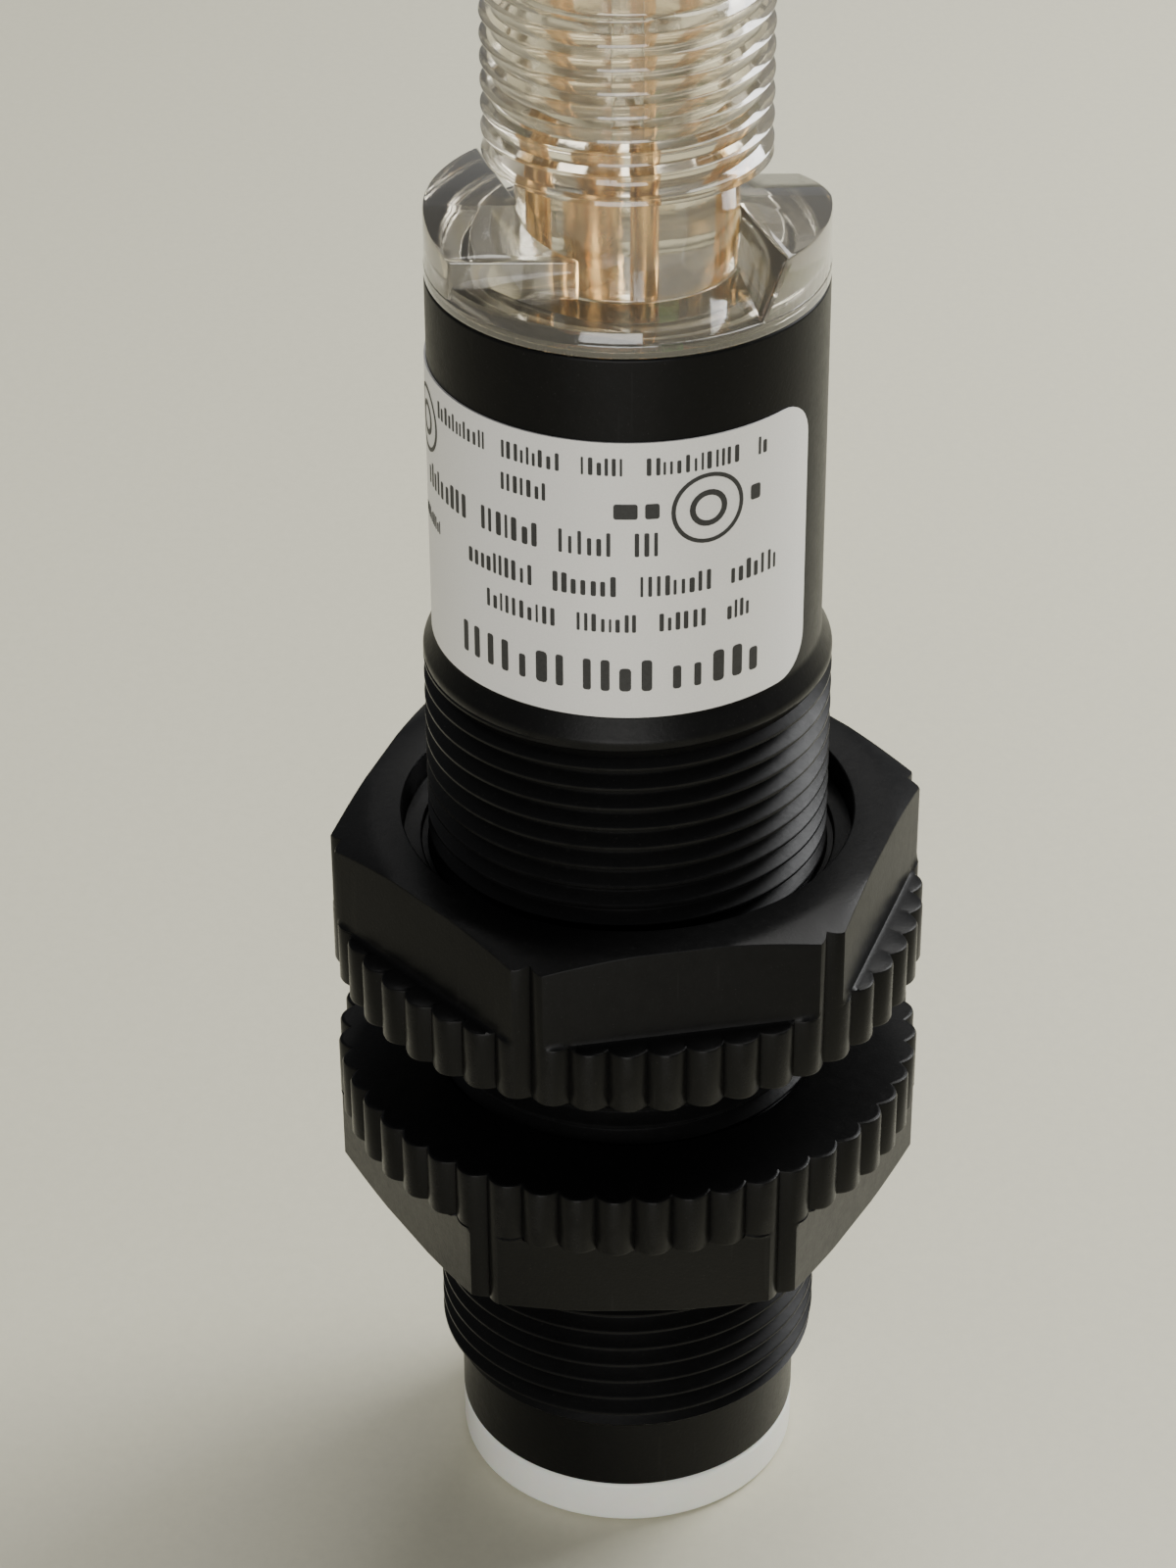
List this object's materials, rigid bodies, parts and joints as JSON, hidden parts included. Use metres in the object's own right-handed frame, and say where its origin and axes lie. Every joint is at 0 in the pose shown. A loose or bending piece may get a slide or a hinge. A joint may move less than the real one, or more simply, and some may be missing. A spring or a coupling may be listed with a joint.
{
  "type": "photoelectric sensor",
  "caption": "Threaded-barrel retroreflective photoelectric sensor with a clear plug-connector end cap, silver label and flanged hexagon mounting nuts.",
  "frame": {"origin": "centre of the sensing face, at the bottom of the part, which stands on that face", "axes": "+Z along the barrel from the sensing face to the connector's tip; -Y towards the middle of the label"},
  "size_m": [0.027, 0.027, 0.0781],
  "materials": {
    "barrel_plastic": "matte black moulded plastic, faint mould grain",
    "nut_plastic": "satin black moulded plastic",
    "lens_acrylic": "off-white to clear acrylic, polished face",
    "clear_cap": "clear moulded plastic, polished",
    "seal_rubber": "smooth nitrile rubber",
    "polariser_film": "thin grey film",
    "holder_plastic": "matte black, light-absorbing",
    "led_resin": "clear red resin",
    "diode_resin": "dark tinted resin",
    "board_laminate": "green solder mask over glass-epoxy",
    "connector_plastic": "black moulded plastic",
    "tinned_metal": "tinned, bright",
    "ic_resin": "black epoxy resin",
    "capacitor_ceramic": "tan ceramic",
    "resistor_body": "black film on white ceramic",
    "green_led_resin": "clear green-lit resin",
    "yellow_led_resin": "clear yellow-lit resin",
    "gold_contact": "gold-plated",
    "lead_insulation": "brown insulation",
    "label_film": "silver-white polyester film with dark print"
  },
  "bodies": {
    "sensor": {"barrel": "barrel_plastic", "front_lens": "lens_acrylic", "lens_seal": "seal_rubber", "emitter_polariser": "polariser_film", "receiver_polariser": "polariser_film", "optics_holder": "holder_plastic", "emitter_led": "led_resin", "receiver_photodiode": "diode_resin", "optics_board": "board_laminate", "board_header": "connector_plastic", "header_pins": "tinned_metal", "main_board": "board_laminate", "receiver_shield_can": "tinned_metal", "signal_ic": "ic_resin", "output_driver_ic": "ic_resin", "output_transistors": "ic_resin", "protection_diode": "ic_resin", "capacitors": "capacitor_ceramic", "resistors": "resistor_body", "power_indicator_led": "green_led_resin", "output_indicator_led": "yellow_led_resin", "end_cap": "clear_cap", "cap_seal": "seal_rubber", "contact_pin_1": "gold_contact", "contact_pin_2": "gold_contact", "contact_pin_3": "gold_contact", "contact_pin_4": "gold_contact", "pin_leads": "lead_insulation", "label": "label_film"},
    "upper_nut_thread": {"upper_nut_thread": "nut_plastic"},
    "upper_nut": {"upper_nut": "nut_plastic"},
    "lower_nut_thread": {"lower_nut_thread": "nut_plastic"},
    "lower_nut": {"lower_nut": "nut_plastic"}
  },
  "joints": [
    {"name": "upper_nut_travel", "type": "slide", "parent": "sensor", "child": "upper_nut_thread", "axis": [0, 0, 1], "range_m": [-0.0023, 0.0084]},
    {"name": "upper_nut_turn", "type": "hinge", "parent": "upper_nut_thread", "child": "upper_nut", "pos_m": [0, 0, 0.0318], "axis": [0, 0, 1], "range_deg": [-831, 3027]},
    {"name": "lower_nut_travel", "type": "slide", "parent": "sensor", "child": "lower_nut_thread", "axis": [0, 0, 1], "range_m": [-0.01, 0.0023]},
    {"name": "lower_nut_turn", "type": "hinge", "parent": "lower_nut_thread", "child": "lower_nut", "pos_m": [0, 0, 0.0209], "axis": [0, 0, 1], "range_deg": [-3603, 831]}
  ],
  "couplings": [
    {"joint": "upper_nut_turn", "follows": "upper_nut_travel", "rad_per_m": 6283.2},
    {"joint": "lower_nut_turn", "follows": "lower_nut_travel", "rad_per_m": 6283.2}
  ]
}
